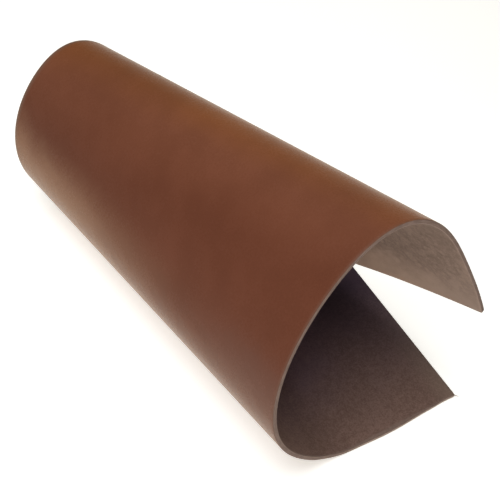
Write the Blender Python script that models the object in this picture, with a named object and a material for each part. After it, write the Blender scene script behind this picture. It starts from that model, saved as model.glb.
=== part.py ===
"""A cut panel of thick leather, curled with its grain side out into an open tube that
narrows towards one end, and lying on its flat lower flap.

Metres, +Z up. The tube runs along Y, with its wide mouth at -Y and its opening towards +X.
"""

import bisect

import bmesh
import bpy
from mathutils import Quaternion, Vector

# The flat cut size. Length is measured along the curl and width along the tube.
PANEL_LENGTH = 0.560
PANEL_WIDTH = 0.300
THICKNESS = 0.0032

# Leather this thick bends one way only, about straight lines that run from the near edge to
# the far edge. The lines fan out like those of a cone: each moves sideways by its slant for
# every metre of width, and the slant changes evenly along the panel.
SLANT_AT_MIDDLE = 0.016
SLANT_CHANGE = -0.643

# The curl along the near edge. The flap is flat up to the first row, and between two rows
# the bend changes evenly.
#   along: distance from the lower corner, in metres
#   bend: radians of turn for each metre, so 1 / bend is the radius
CURL = (
    {"along": 0.100, "bend": 22.2},
    {"along": 0.150, "bend": 5.3},
    {"along": 0.200, "bend": 8.5},
    {"along": 0.250, "bend": 8.6},
    {"along": 0.300, "bend": 8.3},
    {"along": 0.350, "bend": 8.7},
    {"along": 0.400, "bend": 21.0},
    {"along": 0.450, "bend": 11.8},
    {"along": 0.500, "bend": 0.9},
    {"along": 0.550, "bend": 3.6},
    {"along": 0.600, "bend": 12.9},
    {"along": 0.650, "bend": 14.8},
    {"along": 0.700, "bend": 13.7},
)
FLAT_LENGTH = CURL[0]["along"]

# The straight lines that cross the long edges start beyond the near edge's two corners.
CURVE_START = -0.180
CURVE_END = 0.720
CURVE_STEP = 0.001

# Faces along the curl and along the tube.
LENGTH_FACES = 80
WIDTH_FACES = 24

LEATHER_COLOUR = (0.155, 0.052, 0.026, 1.0)
LEATHER_ROUGHNESS = 0.5


def clear_scene():
    for old in list(bpy.data.objects):
        bpy.data.objects.remove(old, do_unlink=True)


def leather_material():
    material = bpy.data.materials.new("leather")
    material.use_nodes = True
    shader = material.node_tree.nodes["Principled BSDF"]
    shader.inputs["Base Color"].default_value = LEATHER_COLOUR
    shader.inputs["Roughness"].default_value = LEATHER_ROUGHNESS
    shader.inputs["Metallic"].default_value = 0.0
    return material


def bend_at(along):
    """The bend at a distance along the near edge, evenly changing between the rows of CURL."""
    if along < FLAT_LENGTH:
        return 0.0
    for row, following in zip(CURL, CURL[1:]):
        if along < following["along"]:
            share = (along - row["along"]) / (following["along"] - row["along"])
            return row["bend"] + share * (following["bend"] - row["bend"])
    return CURL[-1]["bend"]


def slant_at(along):
    """How far the straight line that starts here moves sideways for each metre of width."""
    return SLANT_AT_MIDDLE + SLANT_CHANGE * (along / PANEL_LENGTH - 0.5)


class NearEdge:
    """The curve of the near edge, with the direction along it, the inward normal, and the
    direction across the panel at each step."""

    def __init__(self):
        self.along = []
        self.place = []
        self.forward = []
        self.inward = []
        self.across = []
        self.walk()
        self.start_at_corner()

    def walk(self):
        place = Vector((0.0, 0.0, 0.0))
        forward = Vector((-1.0, 0.0, 0.0))
        inward = Vector((0.0, 0.0, 1.0))
        across = Vector((0.0, 1.0, 0.0))
        for step in range(round((CURVE_END - CURVE_START) / CURVE_STEP) + 1):
            along = CURVE_START + step * CURVE_STEP
            self.along.append(along)
            self.place.append(place.copy())
            self.forward.append(forward.copy())
            self.inward.append(inward.copy())
            self.across.append(across.copy())
            middle = along + CURVE_STEP / 2
            bend = bend_at(middle)
            axis = slant_at(middle) * forward + across
            turn = Quaternion(axis, bend * axis.length * CURVE_STEP)
            old_forward = forward.copy()
            forward = turn @ forward
            inward = turn @ inward
            across = turn @ across
            place = place + (old_forward + forward) * (CURVE_STEP / 2)

    def start_at_corner(self):
        """Moves the curve so that its zero distance is the panel's lower corner."""
        corner = self.place[round(-CURVE_START / CURVE_STEP)].copy()
        self.place = [place - corner for place in self.place]

    def at(self, values, along):
        """One of the lists above, read between its two nearest steps."""
        low = bisect.bisect_right(self.along, along) - 1
        low = max(0, min(low, len(self.along) - 2))
        share = (along - self.along[low]) / CURVE_STEP
        return values[low].lerp(values[low + 1], share)


def curled(edge, length, width, height):
    """Where a point of the flat slab lies once the panel is curled. Height is measured from
    the middle of the leather towards the inside of the curl."""
    start = (length - width * slant_at(0.0)) / (1 + width * SLANT_CHANGE / PANEL_LENGTH)
    line = edge.at(edge.across, start) + slant_at(start) * edge.at(edge.forward, start)
    inward = edge.at(edge.inward, start).normalized()
    return edge.at(edge.place, start) + width * line + height * inward


def flat_slab():
    """The panel before it is curled: length along X, width along Y, thickness about zero."""
    slab = bmesh.new()
    bmesh.ops.create_grid(slab, x_segments=LENGTH_FACES, y_segments=WIDTH_FACES, size=0.5)
    grain_side = slab.faces[:]
    raised = bmesh.ops.extrude_face_region(slab, geom=grain_side, use_keep_orig=True)
    flesh_side = [item for item in raised["geom"] if isinstance(item, bmesh.types.BMVert)]
    for vertex in slab.verts:
        vertex.co.x = (vertex.co.x + 0.5) * PANEL_LENGTH
        vertex.co.y = (vertex.co.y + 0.5) * PANEL_WIDTH
        vertex.co.z = -THICKNESS / 2
    for vertex in flesh_side:
        vertex.co.z = THICKNESS / 2
    return slab


def stand_on_floor(slab):
    """Puts the middle of the panel's box over the origin, and its lowest face at zero."""
    low = Vector(min(vertex.co[axis] for vertex in slab.verts) for axis in range(3))
    high = Vector(max(vertex.co[axis] for vertex in slab.verts) for axis in range(3))
    middle = (low + high) / 2
    bmesh.ops.translate(slab, vec=(-middle.x, -middle.y, -low.z), verts=slab.verts[:])


def build_hide():
    edge = NearEdge()
    slab = flat_slab()
    for vertex in slab.verts:
        vertex.co = curled(edge, vertex.co.x, vertex.co.y, vertex.co.z)
    stand_on_floor(slab)
    bmesh.ops.recalc_face_normals(slab, faces=slab.faces[:])
    mesh = bpy.data.meshes.new("hide")
    slab.to_mesh(mesh)
    slab.free()
    mesh.shade_smooth()
    mesh.set_sharp_from_angle(angle=0.6)
    mesh.materials.append(leather_material())
    hide = bpy.data.objects.new("hide", mesh)
    bpy.context.scene.collection.objects.link(hide)


clear_scene()
build_hide()
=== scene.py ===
"""The finish, light and camera of a cut panel of thick leather, curled grain side out into an
open, tapering tube. The panel is modelled flat, with its cut edges, and then curled."""

import bisect
import math
import random

import bmesh
import bpy
from mathutils import Matrix, Quaternion, Vector


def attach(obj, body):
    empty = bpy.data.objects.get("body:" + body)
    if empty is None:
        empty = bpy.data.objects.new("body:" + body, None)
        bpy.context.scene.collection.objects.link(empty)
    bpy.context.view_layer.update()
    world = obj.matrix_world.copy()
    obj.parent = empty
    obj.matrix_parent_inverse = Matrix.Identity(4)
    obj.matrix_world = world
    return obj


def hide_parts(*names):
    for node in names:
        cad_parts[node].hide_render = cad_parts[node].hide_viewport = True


# The flat cut size, in metres. Length is measured along the curl and width along the tube.
PANEL_LENGTH = 0.560
PANEL_WIDTH = 0.300
THICKNESS = 0.0032

# The straight lines about which the leather bends run from the near edge to the far edge.
# Each moves sideways by its slant for every metre of width. The slants, the rows of the curl
# and the camera are the rounded result of a least-squares fit to the panel's outlines.
SLANT_AT_MIDDLE = 0.016
SLANT_CHANGE = -0.643

# The curl along the near edge: metres from the lower corner, and radians of turn per metre.
# The flap is flat up to the first row, and between two rows the bend changes evenly. The flat
# is longer than the outlines alone ask for, so that the panel stands by itself.
CURL = (
    {"along": 0.100, "bend": 22.2},
    {"along": 0.150, "bend": 5.3},
    {"along": 0.200, "bend": 8.5},
    {"along": 0.250, "bend": 8.6},
    {"along": 0.300, "bend": 8.3},
    {"along": 0.350, "bend": 8.7},
    {"along": 0.400, "bend": 21.0},
    {"along": 0.450, "bend": 11.8},
    {"along": 0.500, "bend": 0.9},
    {"along": 0.550, "bend": 3.6},
    {"along": 0.600, "bend": 12.9},
    {"along": 0.650, "bend": 14.8},
    {"along": 0.700, "bend": 13.7},
)
FLAT_LENGTH = CURL[0]["along"]

# The curve runs on past both corners, because the slanted lines of some points start there.
CURVE_START = -0.180
CURVE_END = 0.720
CURVE_STEP = 0.001

# The fine mesh that is curled, and the small rounding that a knife leaves on its arrises, which
# are the edges that turn by more than so many radians.
LENGTH_FACES = 232
WIDTH_FACES = 124
ARRIS = 0.00035
ARRIS_STEPS = 2
ARRIS_TURN = 1.0
CORNER_PULL = 0.00015

# The panel's material slots. A face lies on one of its two sides if it faces up or down enough.
GRAIN = 0
FLESH = 1
CUT = 2
FACING_ENOUGH = 0.9

# Small shifts of the near cut, in metres, that bring its outline to the real one's. Whether a
# knife strayed there or the curl is a little off isn't known. Minus is out of the panel.
CUT_SHIFTS = (
    {"along": 0.010, "reach": 0.016, "shift": 0.0006},
    {"along": 0.067, "reach": 0.046, "shift": -0.0016},
    {"along": 0.130, "reach": 0.022, "shift": 0.0006},
)
SHIFT_FADE = 0.050

# Loose fibres at the cuts, in metres and degrees, placed on the flat sheet. A short one points
# out of its cut, give or take its lean, from within a share of the thickness over the middle.
LONG_FIBRE = {
    "along": 0.0006,
    "across": 0.0006,
    "heading": 212.0,
    "reach": 0.0036,
    "bend": 35.0,
    "depth": 0.0008,
    "girth": 0.00038,
}
SHORT_FIBRES = 46
FIBRE_SEED = 11
CUT_HEADINGS = {"near": 270.0, "far": 90.0, "lower": 180.0, "upper": 0.0}
FIBRE_LEAN = 60.0
FIBRE_REACH = (0.0007, 0.0020)
FIBRE_BEND = 70.0
FIBRE_DEPTH = 0.4
FIBRE_GIRTH = 0.00011
FIBRE_ROOT = 0.0006
FIBRE_RISE = 0.1
FIBRE_TAPER = 0.7
FIBRE_STEPS = 6
FIBRE_SIDES = 5

# The camera, and the size of its picture on the sensor.
CAMERA_PLACE = (-0.35344, -0.35181, 0.63187)
CAMERA_FORWARD = (0.47467, 0.45410, -0.75398)
CAMERA_RIGHT = (0.82418, -0.52995, 0.19969)
CAMERA_SENSOR = 36.0
CAMERA_LENS = 72.04
CAMERA_CLIP = 0.01

# The soft lights, aimed at the lit point: degrees round from the +Y axis and up from the floor,
# metres away and across, and watts.
LIT_POINT = (0.0, 0.0, 0.1)
SOFTBOXES = (
    {"name": "key", "turn": -110, "rise": 65, "distance": 1.4, "size": 0.6, "power": 11.5},
    {"name": "top", "turn": -72, "rise": 68, "distance": 1.4, "size": 0.6, "power": 4.5},
    {"name": "front", "turn": -157, "rise": 14, "distance": 1.4, "size": 0.5, "power": 3.5},
)

# The glowing table just under the leather, then the pale walls, which fade to the dim room
# above them over a span of the sine of the angle up from the floor.
TABLE_SIZE = 6.0
TABLE_TOP = -0.0003
TABLE_CLOUDS = 0.4
TABLE_TONES = (0.3, 0.7)
TABLE_ROUGHNESS = 0.6
TABLE_WHITES = ((0.84, 0.84, 0.84, 1.0), (0.87, 0.87, 0.87, 1.0))
TABLE_GLOW_COLOUR = (1.0, 0.98, 0.91, 1.0)
TABLE_GLOW = 0.62
WALL_COLOUR = (1.0, 0.96, 0.84, 1.0)
WALL_TOP = (0.10, 0.34)
WALL_LIGHT = 0.75
ROOM_LIGHT = 0.02

# The grain side's colours. A pair is the darker and the paler tone of one colour.
RED_BROWN = ((0.113, 0.0370, 0.0202, 1.0), (0.130, 0.0435, 0.0244, 1.0))
# Painted light: the tan and the gold stand for light falling on the top of the curl.
CREST_PAINTED_LIGHT = ((0.194, 0.0705, 0.0375, 1.0), (0.220, 0.0810, 0.0440, 1.0))
RIDGE_PAINTED_LIGHT = ((0.270, 0.0900, 0.0230, 1.0), (0.300, 0.1010, 0.0280, 1.0))
# Painted shade: the grain darkens towards the far cut.
FAR_PAINTED_SHADE = (0.050, 0.0150, 0.0100, 1.0)
DIMPLE_DYE = (0.060, 0.0180, 0.0100, 1.0)
# Painted highlight: a pale brown patch low on the back, stronger towards the far cut.
LOW_PAINTED_HIGHLIGHT = (0.225, 0.1150, 0.0690, 1.0)
# Painted reflection: a greyer tone low on the back, towards the near cut.
LOW_PAINTED_REFLECTION = (0.180, 0.1300, 0.1150, 1.0)
# Painted highlight along the grain's near and far edges.
PAINTED_RIM_HIGHLIGHT = (0.160, 0.1050, 0.0780, 1.0)

# Where the grain's colours begin and end on the flat sheet, in metres: the painted light over the
# tan crest and the golden ridge along the curl, which come earlier by the slant for every metre
# of width, the painted highlight low on the back, which reaches further at the far cut, and what
# changes across: the painted reflection, the painted shade towards the far cut and the painted
# highlights at the near and far edges.
CREST_SLANT = 0.20
CREST_RISE = (0.343, 0.437)
CREST_FALL = (0.460, 0.550)
RIDGE_RISE = (0.392, 0.447)
RIDGE_FALL = (0.452, 0.510)
LOW_HIGHLIGHT_RISE = (0.238, 0.258)
LOW_HIGHLIGHT_FALL = (0.264, 0.303)
LOW_HIGHLIGHT_ACROSS = (0.080, 0.250)
LOW_HIGHLIGHT_LIFT = (0.265, 0.300)
LOW_REFLECTION_ACROSS = (0.020, 0.100)
FAR_SHADE_ACROSS = (0.140, 0.270)
NEAR_RIM = (0.0004, 0.0024)
FAR_RIM = (0.2950, 0.2998)

# The sizes of the grain's patterns and the depths of its relief, in metres, then the spans of
# a pattern over which the dye pales and the dimples end, and the low shine with its warm sheen.
GRAIN_CLOUDS = 0.070
GRAIN_BLOTCHES = 0.018
GRAIN_STROKES = 0.010
GRAIN_SPECKLE = 0.0016
GRAIN_PEBBLE = 0.0011
PEBBLE_DEPTH = 0.00002
SWAY_DEPTH = 0.00030
GRAIN_TONES = (0.36, 0.64)
DIMPLE_SPAN = (0.1, 0.6)
GRAIN_GLOSS = 0.030
GRAIN_ROUGHNESS = 0.27
SHEEN = {
    "Sheen Weight": 0.17,
    "Sheen Roughness": 0.35,
    "Sheen Tint": (1.0, 0.67, 0.31, 1.0),
}

# The flesh side's colours: the inside of the laid flap, then that of the raised flap.
# The laid flap's darker, purplish flesh is partly its own tone and partly painted shade.
INNER_FLESH = ((0.078, 0.050, 0.070, 1.0), (0.114, 0.074, 0.096, 1.0))
# Painted shade: a bluish tone where the laid flap turns up.
TURNING_PAINTED_SHADE = (0.145, 0.108, 0.172, 1.0)
# Painted shade: a dark band deep in the mouth.
DEEP_PAINTED_SHADE = (0.042, 0.026, 0.038, 1.0)
FAR_FLESH = ((0.092, 0.060, 0.052, 1.0), (0.132, 0.088, 0.076, 1.0))
# Painted light: paler flesh near the mouth.
MOUTH_PAINTED_LIGHT = ((0.155, 0.094, 0.075, 1.0), (0.236, 0.149, 0.120, 1.0))
BORDER_FLESH = (0.270, 0.200, 0.150, 1.0)
RUBBED_FLESH = (0.250, 0.190, 0.155, 1.0)
# The raised flap's paler flesh is partly its own tone and partly painted light.
PALE_FLESH_NEAR = ((0.221, 0.154, 0.121, 1.0), (0.312, 0.220, 0.173, 1.0))
# Painted light: the raised flap's flesh is paler still deeper in.
DEEP_PAINTED_LIGHT_FLESH = ((0.268, 0.187, 0.147, 1.0), (0.378, 0.267, 0.210, 1.0))
# Painted shade in the raised flap's creases.
CREASE_PAINTED_SHADE = (0.158, 0.110, 0.088, 1.0)
# Painted light at the raised flap's free edge.
FREE_EDGE_PAINTED_LIGHT = ((0.335, 0.241, 0.193, 1.0), (0.600, 0.412, 0.311, 1.0))

# Where the flesh's colours begin and end on the flat sheet, in metres.
RAISED_ALONG = (0.170, 0.360)
TURNING_ALONG = (0.045, 0.155)
DEEP_ALONG = (0.030, 0.075)
BORDER_ALONG = (0.000, 0.024)
FREE_EDGE_ALONG = (0.515, 0.560)
DEEP_ACROSS = (0.085, 0.135)
FAR_ACROSS = (0.132, 0.165)
MOUTH_LIGHT_ACROSS = (0.000, 0.135)
PALE_ACROSS = (0.000, 0.100)
RUBBED_ACROSS = (0.0006, 0.0024)

# The sizes of the flesh's patterns and the depth of its nap, in metres, then the spans of a
# pattern over which the flesh pales and the creases come and go, and the shine of bare fibre.
FLESH_CLOUDS = 0.045
FLESH_PATCHES = 0.030
FLESH_FOLDS = 0.017
FLESH_TUFTS = 0.0032
FLESH_NAP = 0.0014
NAP_DEPTH = 0.00035
FLESH_TONES = (0.40, 0.60)
CREASE_PLACES = (0.42, 0.58)
CREASE_WIDTH = (0.0, 0.06)
FLESH_ROUGHNESS = 0.92
FIBRE_GLOSS = 0.12

# The cut edge: its felted core, the dyed skin at the grain side, the lip at the flesh side and
# the paler stretch along the laid flap. The spans and sizes are in metres, and the skin and
# the lip are measured from the middle of the thickness.
CUT_CORE = ((0.146, 0.097, 0.077, 1.0), (0.238, 0.163, 0.133, 1.0))
CUT_SKIN = (0.132, 0.083, 0.060, 1.0)
CUT_LIP = (0.310, 0.222, 0.182, 1.0)
CUT_LAID_DOWN = (0.370, 0.285, 0.240, 1.0)
SKIN_DEPTH = (-0.50 * THICKNESS, -0.34 * THICKNESS)
LIP_DEPTH = (0.30 * THICKNESS, 0.46 * THICKNESS)
LAID_ALONG = (0.085, 0.115)
CUT_PATCHES = 0.012
CUT_LAYERS = 0.0009
CUT_FIBRE = 0.0006
CUT_DEPTH = 0.00025
CUT_TONES = (0.36, 0.64)
CUT_ROUGHNESS = 0.80


class Signal:
    """A value in a material. Arithmetic on it adds Math nodes."""

    def __init__(self, paint, socket):
        self.paint = paint
        self.socket = socket

    def math(self, operation, first, second):
        inputs = {0: first, 1: second}
        return self.paint.node("ShaderNodeMath", {"operation": operation}, inputs)

    def __add__(self, other):
        return self.math("ADD", self, other)

    def __sub__(self, other):
        return self.math("SUBTRACT", self, other)

    def __mul__(self, other):
        return self.math("MULTIPLY", self, other)

    def __radd__(self, other):
        return self.math("ADD", other, self)

    def __rsub__(self, other):
        return self.math("SUBTRACT", other, self)

    def __rmul__(self, other):
        return self.math("MULTIPLY", other, self)


class Paint:
    """One material, or the studio's surroundings, built node by node towards its end node."""

    def __init__(self, owner, end):
        self.owner = owner
        self.owner.use_nodes = True
        self.tree = self.owner.node_tree
        self.end = self.tree.nodes[end]

    def node(self, kind, settings, inputs, output=0):
        """A new node: its settings first, then the values or links of its sockets."""
        made = self.tree.nodes.new(kind)
        for name, value in settings.items():
            setattr(made, name, value)
        self.fill(made, inputs)
        return Signal(self, made.outputs[output])

    def fill(self, made, inputs):
        """The values or links of a node's sockets."""
        for name, value in inputs.items():
            if isinstance(value, Signal):
                self.tree.links.new(value.socket, made.inputs[name])
            else:
                made.inputs[name].default_value = value

    def finished(self, look):
        """What was painted, once the look is set on its end node."""
        self.fill(self.end, look)
        return self.owner

    def sheet_place(self):
        """Where a point lies on the sheet before it is curled, in metres."""
        return self.node("ShaderNodeAttribute", {"attribute_name": "flat"}, {}, "Vector")

    def part(self, vector, axis):
        """One part of a vector: X, Y or Z."""
        return self.node("ShaderNodeSeparateXYZ", {}, {0: vector}, axis)

    def stretched(self, vector, turn, stretch):
        """The place turned in the plane of the sheet, then divided by the stretch."""
        inputs = {"Vector": vector, "Rotation": (0.0, 0.0, turn)}
        turned = self.node("ShaderNodeMapping", {"vector_type": "POINT"}, inputs)
        inputs = {0: turned, 1: stretch}
        return self.node("ShaderNodeVectorMath", {"operation": "DIVIDE"}, inputs)

    def cloud(self, vector, size, detail, rough=0.5):
        """A soft, cloudy pattern of this size in metres, from 0 to 1."""
        inputs = {"Vector": vector, "Scale": 1 / size, "Detail": detail, "Roughness": rough}
        return self.node("ShaderNodeTexNoise", {}, inputs)

    def cells(self, vector, size):
        """A pebbled pattern of this size in metres: how far a point is from its cell's middle."""
        inputs = {"Vector": vector, "Scale": 1 / size}
        return self.node("ShaderNodeTexVoronoi", {"feature": "F1"}, inputs)

    def ramp(self, value, span, start=0.0, end=1.0):
        """A smooth change from start to end, as the value goes over its span."""
        settings = {"interpolation_type": "SMOOTHSTEP"}
        inputs = {"Value": value, "From Min": span[0], "From Max": span[1]}
        inputs.update({"To Min": start, "To Max": end})
        return self.node("ShaderNodeMapRange", settings, inputs)

    def apart(self, value, middle):
        """How far a value is from the middle, on either side."""
        return self.node("ShaderNodeMath", {"operation": "ABSOLUTE"}, {0: value - middle})

    def mix(self, share, first, second):
        """The first colour, with a share of the second. The node has its colours at 6 and 7."""
        settings = {"data_type": "RGBA", "blend_type": "MIX"}
        return self.node("ShaderNodeMix", settings, {0: share, 6: first, 7: second}, 2)

    def bumped(self, height, deep, strength=1.0):
        """A normal for a relief whose height runs from 0 to 1, and whose depth is in metres."""
        inputs = {"Height": height, "Distance": deep, "Strength": strength}
        return self.node("ShaderNodeBump", {}, inputs)


def swayed(value, cloud, sway):
    """The value, moved up to half the sway either way by a cloud."""
    return value + (cloud - 0.5) * sway


def curl_bend(along):
    """How sharply the near edge bends, in radians per metre, at a length along it."""
    if along < FLAT_LENGTH:
        return 0.0
    for row, following in zip(CURL, CURL[1:]):
        if along < following["along"]:
            share = (along - row["along"]) / (following["along"] - row["along"])
            return row["bend"] + share * (following["bend"] - row["bend"])
    return CURL[-1]["bend"]


def line_slant(along):
    """How far a straight line moves sideways for every metre of width."""
    return SLANT_AT_MIDDLE + SLANT_CHANGE * (along / PANEL_LENGTH - 0.5)


class NearEdge:
    """The curve of the near edge, with its directions at each step."""

    def __init__(self):
        self.along = []
        self.place = []
        self.forward = []
        self.inward = []
        self.across = []
        self.walk()
        corner = self.place[round(-CURVE_START / CURVE_STEP)].copy()
        self.place = [place - corner for place in self.place]

    def walk(self):
        """Goes along the edge step by step, and turns its directions by the bend of each."""
        place = Vector((0.0, 0.0, 0.0))
        forward = Vector((-1.0, 0.0, 0.0))
        inward = Vector((0.0, 0.0, 1.0))
        across = Vector((0.0, 1.0, 0.0))
        for step in range(round((CURVE_END - CURVE_START) / CURVE_STEP) + 1):
            along = CURVE_START + step * CURVE_STEP
            self.along.append(along)
            self.place.append(place.copy())
            self.forward.append(forward.copy())
            self.inward.append(inward.copy())
            self.across.append(across.copy())
            middle = along + CURVE_STEP / 2
            axis = line_slant(middle) * forward + across
            turn = Quaternion(axis, curl_bend(middle) * axis.length * CURVE_STEP)
            old_forward = forward.copy()
            forward = turn @ forward
            inward = turn @ inward
            across = turn @ across
            place = place + (old_forward + forward) * (CURVE_STEP / 2)

    def at(self, values, along):
        """One of the lists above, read between its two nearest steps."""
        low = bisect.bisect_right(self.along, along) - 1
        low = max(0, min(low, len(self.along) - 2))
        share = (along - self.along[low]) / CURVE_STEP
        return values[low].lerp(values[low + 1], share)

    def curled(self, flat):
        """Where a point of the flat slab lies once the panel is curled."""
        spread = 1 + flat.y * SLANT_CHANGE / PANEL_LENGTH
        start = (flat.x - flat.y * line_slant(0.0)) / spread
        line = self.at(self.across, start) + line_slant(start) * self.at(self.forward, start)
        inward = self.at(self.inward, start).normalized()
        return self.at(self.place, start) + flat.y * line + flat.z * inward


def cut_shift(along, across):
    """How far the near cut is shifted from straight. It fades out across the panel."""
    shift = 0.0
    for row in CUT_SHIFTS:
        share = (along - row["along"]) / row["reach"]
        if abs(share) < 1.0:
            shift += row["shift"] * math.cos(share * math.pi / 2) ** 2
    return shift * max(0.0, 1.0 - across / SHIFT_FADE)


def flat_slab():
    """The panel before it is curled, with its four cut edges: grain side down."""
    slab = bmesh.new()
    bmesh.ops.create_grid(slab, x_segments=LENGTH_FACES, y_segments=WIDTH_FACES, size=0.5)
    grain_side = slab.faces[:]
    raised = bmesh.ops.extrude_face_region(slab, geom=grain_side, use_keep_orig=True)
    flesh_side = [item for item in raised["geom"] if isinstance(item, bmesh.types.BMVert)]
    for vertex in slab.verts:
        vertex.co.x = (vertex.co.x + 0.5) * PANEL_LENGTH
        vertex.co.y = (vertex.co.y + 0.5) * PANEL_WIDTH
        vertex.co.z = -THICKNESS / 2
    for vertex in flesh_side:
        vertex.co.z = THICKNESS / 2
    for vertex in slab.verts:
        at_side = min(vertex.co.x, PANEL_LENGTH - vertex.co.x) < CORNER_PULL
        if at_side and min(vertex.co.y, PANEL_WIDTH - vertex.co.y) < CORNER_PULL:
            vertex.co.x += CORNER_PULL if vertex.co.x < CORNER_PULL else -CORNER_PULL
            vertex.co.y += CORNER_PULL if vertex.co.y < CORNER_PULL else -CORNER_PULL
    bmesh.ops.recalc_face_normals(slab, faces=slab.faces[:])
    rim = [edge for edge in slab.edges if edge.calc_face_angle(0.0) > ARRIS_TURN]
    rounding = {"offset": ARRIS, "segments": ARRIS_STEPS, "profile": 0.5, "affect": "EDGES"}
    bmesh.ops.bevel(slab, geom=rim, **rounding)
    return slab


def build_hide(edge):
    """The curled panel, and the move that sets it on the floor, in the middle of its box."""
    slab = flat_slab()
    slab.normal_update()
    rest = slab.verts.layers.float_vector.new("flat")
    for face in slab.faces:
        face.smooth = True
        if face.normal.z < -FACING_ENOUGH:
            face.material_index = GRAIN
        elif face.normal.z > FACING_ENOUGH:
            face.material_index = FLESH
        else:
            face.material_index = CUT
    straight = [edge.curled(vertex.co) for vertex in slab.verts]
    low = Vector(min(place[axis] for place in straight) for axis in range(3))
    high = Vector(max(place[axis] for place in straight) for axis in range(3))
    middle = (low + high) / 2
    to_floor = Vector((-middle.x, -middle.y, -low.z))
    for vertex in slab.verts:
        vertex.co.y += cut_shift(vertex.co.x, vertex.co.y)
        vertex[rest] = vertex.co
        vertex.co = edge.curled(vertex.co)
    return set_down(slab, "leather_panel", to_floor), to_floor


def set_down(shape, name, move):
    """The shape as a piece of its own, moved to its place with its faces pointing outwards."""
    bmesh.ops.translate(shape, vec=move, verts=shape.verts[:])
    bmesh.ops.recalc_face_normals(shape, faces=shape.faces[:])
    mesh = bpy.data.meshes.new(name)
    shape.to_mesh(mesh)
    shape.free()
    piece = bpy.data.objects.new(name, mesh)
    bpy.context.scene.collection.objects.link(piece)
    return piece


def fibre_rows():
    """The one long fibre at the lower corner, and short ones at random along the cuts."""
    rows = [dict(LONG_FIBRE)]
    draw = random.Random(FIBRE_SEED)
    for _ in range(SHORT_FIBRES):
        share = draw.random()
        side = draw.choice(tuple(CUT_HEADINGS))
        along = {"lower": 0.0, "upper": PANEL_LENGTH}.get(side, share * PANEL_LENGTH)
        across = {"near": 0.0, "far": PANEL_WIDTH}.get(side, share * PANEL_WIDTH)
        heading = CUT_HEADINGS[side] + draw.uniform(-FIBRE_LEAN, FIBRE_LEAN)
        row = {"along": along, "across": across, "heading": heading}
        row["reach"] = draw.uniform(*FIBRE_REACH)
        row["bend"] = draw.uniform(-FIBRE_BEND, FIBRE_BEND)
        row["depth"] = draw.uniform(0.0, FIBRE_DEPTH) * THICKNESS
        row["girth"] = FIBRE_GIRTH
        rows.append(row)
    return rows


def fibre_path(row):
    """The points of one fibre beside the flat sheet. It starts a little inside the cut."""
    step = row["reach"] / FIBRE_STEPS
    heading = math.radians(row["heading"])
    place = Vector((row["along"], row["across"], row["depth"]))
    place -= Vector((math.cos(heading), math.sin(heading), 0.0)) * FIBRE_ROOT
    points = []
    for count in range(FIBRE_STEPS + 1):
        points.append(place.copy())
        turned = heading + math.radians(row["bend"]) * count / FIBRE_STEPS
        length = step + (FIBRE_ROOT if count == 0 else 0.0)
        place += Vector((math.cos(turned), math.sin(turned), FIBRE_RISE)) * length
    return points


def add_fibre(fibres, row):
    """One fibre as a thin, closed tube that tapers to its tip."""
    points = fibre_path(row)
    rings = []
    for count, point in enumerate(points):
        ahead = points[min(count + 1, FIBRE_STEPS)] - points[max(count - 1, 0)]
        sideways = Vector((-ahead.y, ahead.x, 0.0)).normalized()
        thick = row["girth"] * (1.0 - FIBRE_TAPER * count / FIBRE_STEPS)
        ring = []
        for corner in range(FIBRE_SIDES):
            turn = math.tau * corner / FIBRE_SIDES
            offset = sideways * math.cos(turn) + Vector((0.0, 0.0, math.sin(turn)))
            ring.append(fibres.verts.new(point + offset * thick))
        rings.append(ring)
    for ring, following in zip(rings, rings[1:]):
        for corner in range(FIBRE_SIDES):
            other = (corner + 1) % FIBRE_SIDES
            fibres.faces.new((ring[corner], ring[other], following[other], following[corner]))
    fibres.faces.new(rings[0])
    fibres.faces.new(rings[-1])


def build_fibres(edge, to_floor):
    """The loose fibres as one piece, made beside the flat sheet and curled with it."""
    fibres = bmesh.new()
    rest = fibres.verts.layers.float_vector.new("flat")
    for row in fibre_rows():
        add_fibre(fibres, row)
    for vertex in fibres.verts:
        vertex[rest] = vertex.co
        vertex.co = edge.curled(vertex.co)
    return set_down(fibres, "loose_fibres", to_floor)


def surface_paint(name):
    """A new material to paint, with its shader as the end node."""
    return Paint(bpy.data.materials.new(name), "Principled BSDF")


def dyed_lit_and_shaded_grain(paint, place, clouds, tone):
    """Red-brown dye, tan and gold painted light on the crest and ridge, painted shade to the far
    cut.
    """
    along = paint.part(place, "X")
    across = paint.part(place, "Y")
    drift = swayed(along + across * CREST_SLANT, clouds, 0.025)
    # Painted light: tan over the crest and gold on the ridge, where light falls on the curl.
    crest = paint.ramp(drift, CREST_RISE) * paint.ramp(drift, CREST_FALL, 1.0, 0.35)
    ridge = paint.ramp(drift, RIDGE_RISE) * paint.ramp(drift, RIDGE_FALL, 1.0, 0.0)
    crest_lit = paint.mix(crest, paint.mix(tone, *RED_BROWN), paint.mix(tone, *CREST_PAINTED_LIGHT))
    ridge_lit = paint.mix(ridge, crest_lit, paint.mix(tone, *RIDGE_PAINTED_LIGHT))
    # Painted shade towards the far cut.
    far_shade = paint.ramp(swayed(across, clouds, 0.04), FAR_SHADE_ACROSS, 0.0, 0.12)
    return paint.mix(far_shade, ridge_lit, FAR_PAINTED_SHADE)


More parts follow.
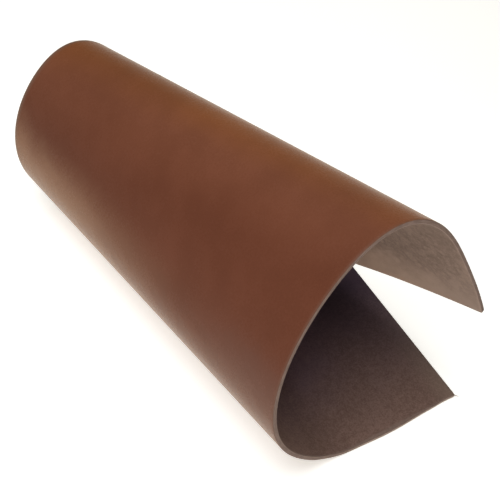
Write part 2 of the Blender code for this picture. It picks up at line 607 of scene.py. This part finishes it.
def highlighted_grain(paint, place, clouds, blotches, coloured):
    """Painted highlight and reflection low on the back, and painted highlights at the near and
    far edges.
    """
    along = paint.part(place, "X")
    across = paint.part(place, "Y")
    drawn_out = paint.stretched(place, 0.5, (1.0, 0.22, 1.0))
    strokes = paint.cloud(drawn_out, GRAIN_STROKES, 3.0)
    ragged = swayed(swayed(along, blotches, 0.016), strokes, 0.010)
    lifted = ragged - paint.ramp(across, LOW_HIGHLIGHT_LIFT, 0.0, 0.009)
    under = paint.ramp(lifted, LOW_HIGHLIGHT_FALL, 1.0, 0.0) * paint.ramp(lifted, LOW_HIGHLIGHT_RISE, 0.5, 1.0)
    # Painted highlight: a pale brown patch low on the back.
    low_highlight = under * paint.ramp(swayed(across, clouds, 0.06), LOW_HIGHLIGHT_ACROSS, 0.0, 0.95)
    low_highlighted = paint.mix(low_highlight, coloured, LOW_PAINTED_HIGHLIGHT)
    # Painted reflection low on the back, towards the near cut.
    low_reflection = under * paint.ramp(swayed(across, clouds, 0.03), LOW_REFLECTION_ACROSS, 0.18, 0.0)
    low_reflected = paint.mix(low_reflection, low_highlighted, LOW_PAINTED_REFLECTION)
    # Painted highlights along the grain's near and far edges.
    rim_highlights = paint.ramp(across, NEAR_RIM, 0.30, 0.0) + paint.ramp(across, FAR_RIM, 0.0, 0.65)
    return paint.mix(rim_highlights, low_reflected, PAINTED_RIM_HIGHLIGHT)


def grain_finish():
    """Smooth, drum-dyed full grain: cloudy colour, fine pebble and a low satin shine."""
    paint = surface_paint("grain")
    place = paint.sheet_place()
    clouds = paint.cloud(place, GRAIN_CLOUDS, 3.0)
    blotches = paint.cloud(place, GRAIN_BLOTCHES, 4.0)
    speckle = paint.cloud(place, GRAIN_SPECKLE, 3.0, 0.6)
    pebble = paint.cells(place, GRAIN_PEBBLE)
    tone = paint.ramp(clouds * 0.44 + blotches * 0.30 + speckle * 0.26, GRAIN_TONES)
    # The grain's colour holds painted light and shade, then painted highlights and a reflection.
    coloured = dyed_lit_and_shaded_grain(paint, place, clouds, tone)
    highlighted = highlighted_grain(paint, place, clouds, blotches, coloured)
    dimples = paint.ramp(pebble, DIMPLE_SPAN, 0.12, 0.0)
    sway = paint.bumped(blotches, SWAY_DEPTH)
    height = pebble * 0.5 + speckle * 0.6
    relief = {"Height": height, "Distance": PEBBLE_DEPTH, "Normal": sway}
    look = {"Base Color": paint.mix(dimples, highlighted, DIMPLE_DYE)}
    look["Roughness"] = swayed(swayed(GRAIN_ROUGHNESS, blotches, 0.12), speckle, 0.10)
    look["Normal"] = paint.node("ShaderNodeBump", {}, relief)
    look["Specular IOR Level"] = GRAIN_GLOSS
    look.update(SHEEN)
    return paint.finished(look)


def laid_flesh(paint, place, clouds, tufts, tone):
    """The laid flap's flesh: painted light near the mouth, painted shade where it turns up and
    deep in.
    """
    along = paint.part(place, "X")
    across = paint.part(place, "Y")
    # Partly painted shade: the laid flap's flesh is darker than the raised flap's.
    inner = paint.mix(tone, *INNER_FLESH)
    # Painted shade: a bluish tone where the flap turns up.
    turning_up = paint.ramp(swayed(along, clouds, 0.03), TURNING_ALONG, 0.0, 0.75)
    turned = paint.mix(turning_up, inner, TURNING_PAINTED_SHADE)
    # Painted shade: a dark band deep in the mouth.
    deep = paint.ramp(swayed(across, clouds, 0.05), DEEP_ACROSS, 0.0, 0.75)
    deep_shade_flat = deep * paint.ramp(along, DEEP_ALONG, 1.0, 0.3)
    shaded = paint.mix(deep_shade_flat, turned, DEEP_PAINTED_SHADE)
    beyond = paint.ramp(swayed(across, clouds, 0.02), FAR_ACROSS)
    whole = paint.mix(beyond, shaded, paint.mix(tone, *FAR_FLESH))
    border = paint.ramp(swayed(along, tufts, 0.012), BORDER_ALONG, 0.45, 0.0)
    bordered = paint.mix(border, paint.mix(tone, *MOUTH_PAINTED_LIGHT), BORDER_FLESH)
    # Painted light: paler towards the mouth.
    mouth_light = paint.ramp(swayed(across, clouds, 0.05), MOUTH_LIGHT_ACROSS, 1.0, 0.0)
    mouth_lit = paint.mix(mouth_light, whole, bordered)
    rubbed = paint.ramp(across, RUBBED_ACROSS, 0.45, 0.0)
    return paint.mix(rubbed, mouth_lit, RUBBED_FLESH)


def raised_flesh(paint, place, folds, creases, brushed):
    """Raised flap's paler, brushed flesh: painted shade in creases, painted light at its free
    edge.
    """
    along = paint.part(place, "X")
    deeper = paint.ramp(paint.part(place, "Y"), PALE_ACROSS)
    # Partly painted light: the raised flap's flesh is paler than the laid flap's.
    pale_near = paint.mix(brushed, *PALE_FLESH_NEAR)
    # Painted light: paler still deeper in.
    pale = paint.mix(deeper, pale_near, paint.mix(brushed, *DEEP_PAINTED_LIGHT_FLESH))
    # Painted shade in the creases.
    crease_shaded = paint.mix(creases * 0.38, pale, CREASE_PAINTED_SHADE)
    # Painted light at the free edge.
    free_edge = paint.ramp(swayed(along, folds, 0.04), FREE_EDGE_ALONG, 0.0, 0.80)
    return paint.mix(free_edge, crease_shaded, paint.mix(deeper, *FREE_EDGE_PAINTED_LIGHT))


def flesh_finish():
    """Short, brushed nap: paler on the raised flap, darker on the laid one, partly painted light
    and shade.
    """
    paint = surface_paint("flesh")
    place = paint.sheet_place()
    clouds = paint.cloud(place, FLESH_CLOUDS, 3.0)
    drawn_out = paint.stretched(place, 0.95, (1.0, 0.75, 1.0))
    folds = paint.cloud(drawn_out, FLESH_FOLDS, 3.0)
    patches = paint.ramp(paint.cloud(place, FLESH_PATCHES, 2.0), CREASE_PLACES)
    tufts = paint.cloud(place, FLESH_TUFTS, 4.0, 0.65)
    nap = paint.cloud(place, FLESH_NAP, 3.0, 0.7)
    creases = paint.ramp(paint.apart(folds, 0.5), CREASE_WIDTH, 1.0, 0.0) * patches
    speckled = paint.ramp(tufts * 0.32 + nap * 0.50 + clouds * 0.18, FLESH_TONES)
    strokes = folds * 0.18 + clouds * 0.22 + tufts * 0.36 + nap * 0.24
    brushed = paint.ramp(strokes, FLESH_TONES)
    laid = laid_flesh(paint, place, clouds, tufts, speckled)
    lifted = raised_flesh(paint, place, folds, creases, brushed)
    raised = paint.ramp(swayed(paint.part(place, "X"), clouds, 0.12), RAISED_ALONG)
    relief = nap * 0.5 + tufts * 0.6 - creases * raised * 0.5
    look = {"Base Color": paint.mix(raised, laid, lifted)}
    look["Roughness"] = swayed(FLESH_ROUGHNESS, nap, 0.12)
    look["Normal"] = paint.bumped(relief, NAP_DEPTH, 0.8)
    look["Specular IOR Level"] = FIBRE_GLOSS
    return paint.finished(look)


def cut_finish():
    """The knife's cut: dyed skin at the grain side, then layers of paler, felted fibre."""
    paint = surface_paint("cut_edge")
    place = paint.sheet_place()
    drawn_out = paint.stretched(place, 0.0, (8.0, 8.0, 1.0))
    layers = paint.cloud(drawn_out, CUT_LAYERS, 3.0, 0.6)
    fibre = paint.cloud(place, CUT_FIBRE, 3.0, 0.7)
    patches = paint.cloud(place, CUT_PATCHES, 3.0)
    felt = paint.ramp(layers * 0.40 + fibre * 0.35 + patches * 0.25, CUT_TONES)
    level = swayed(paint.part(place, "Z"), layers, 0.0004)
    skin = paint.ramp(level, SKIN_DEPTH, 1.0, 0.0)
    coloured = paint.mix(skin, paint.mix(felt, *CUT_CORE), CUT_SKIN)
    lipped = paint.mix(paint.ramp(level, LIP_DEPTH), coloured, CUT_LIP)
    laid_down = paint.ramp(paint.part(place, "X"), LAID_ALONG, 0.75, 0.0)
    look = {"Base Color": paint.mix(laid_down, lipped, CUT_LAID_DOWN)}
    look["Roughness"] = swayed(CUT_ROUGHNESS, fibre, 0.2)
    look["Normal"] = paint.bumped(layers * 0.6 + fibre * 0.5, CUT_DEPTH, 0.7)
    look["Specular IOR Level"] = FIBRE_GLOSS
    return paint.finished(look)


def table_finish():
    """A white studio table that is lit from below as well as from above."""
    paint = surface_paint("white_table")
    place = paint.node("ShaderNodeTexCoord", {}, {}, "Object")
    tone = paint.ramp(paint.cloud(place, TABLE_CLOUDS, 2.0), TABLE_TONES)
    look = {"Base Color": paint.mix(tone, *TABLE_WHITES), "Roughness": TABLE_ROUGHNESS}
    look["Emission Color"] = TABLE_GLOW_COLOUR
    look["Emission Strength"] = TABLE_GLOW
    return paint.finished(look)


def add_floor():
    """The table as the stage, which isn't part of the object."""
    bpy.ops.object.select_all(action="DESELECT")
    bpy.ops.mesh.primitive_plane_add(size=TABLE_SIZE, location=(0.0, 0.0, TABLE_TOP))
    floor = bpy.context.object
    floor.name = "floor"
    floor.data.materials.append(table_finish())


def add_softboxes():
    """Square area lights, each turned towards the lit point."""
    for box in SOFTBOXES:
        turn = math.radians(box["turn"])
        rise = math.radians(box["rise"])
        level = Vector((math.sin(turn), math.cos(turn), 0.0))
        away = level * math.cos(rise) + Vector((0.0, 0.0, math.sin(rise)))
        light = bpy.data.lights.new(box["name"], "AREA")
        light.shape = "SQUARE"
        light.size = box["size"]
        light.energy = box["power"]
        lamp = bpy.data.objects.new(box["name"], light)
        lamp.location = Vector(LIT_POINT) + away * box["distance"]
        lamp.rotation_euler = (-away).to_track_quat("-Z", "Y").to_euler()
        bpy.context.scene.collection.objects.link(lamp)


def add_camera():
    """The camera, turned by its forward and right directions."""
    camera = bpy.data.cameras.new("camera")
    camera.sensor_width = CAMERA_SENSOR
    camera.lens = CAMERA_LENS
    camera.clip_start = CAMERA_CLIP
    eye = bpy.data.objects.new("camera", camera)
    forward = Vector(CAMERA_FORWARD).normalized()
    right = Vector(CAMERA_RIGHT).normalized()
    up = right.cross(forward)
    turn = Matrix((right, up, -forward)).transposed().to_4x4()
    eye.matrix_world = Matrix.Translation(Vector(CAMERA_PLACE)) @ turn
    bpy.context.scene.collection.objects.link(eye)
    bpy.context.scene.camera = eye


def add_surroundings():
    """Pale walls up to a low height, and a dim room above them."""
    paint = Paint(bpy.data.worlds.new("studio"), "Background")
    height = paint.part(paint.node("ShaderNodeTexCoord", {}, {}, "Generated"), "Z")
    light = paint.ramp(height, WALL_TOP, WALL_LIGHT, ROOM_LIGHT)
    scene = bpy.context.scene
    scene.world = paint.finished({"Color": WALL_COLOUR, "Strength": light})
    scene.view_settings.view_transform = "Standard"


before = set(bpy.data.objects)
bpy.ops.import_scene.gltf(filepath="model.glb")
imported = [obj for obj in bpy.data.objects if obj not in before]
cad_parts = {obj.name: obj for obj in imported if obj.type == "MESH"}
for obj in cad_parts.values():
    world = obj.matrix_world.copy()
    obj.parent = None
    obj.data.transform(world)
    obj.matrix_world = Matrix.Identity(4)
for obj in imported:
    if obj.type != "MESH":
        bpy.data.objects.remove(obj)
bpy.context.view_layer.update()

near_edge = NearEdge()
panel, to_floor = build_hide(near_edge)
cut_edge = cut_finish()
for finish in (grain_finish(), flesh_finish(), cut_edge):
    panel.data.materials.append(finish)
fibres = build_fibres(near_edge, to_floor)
fibres.data.materials.append(cut_edge)
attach(panel, "root")
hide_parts("hide")
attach(fibres, "root")
add_floor()

add_surroundings()
add_softboxes()
add_camera()
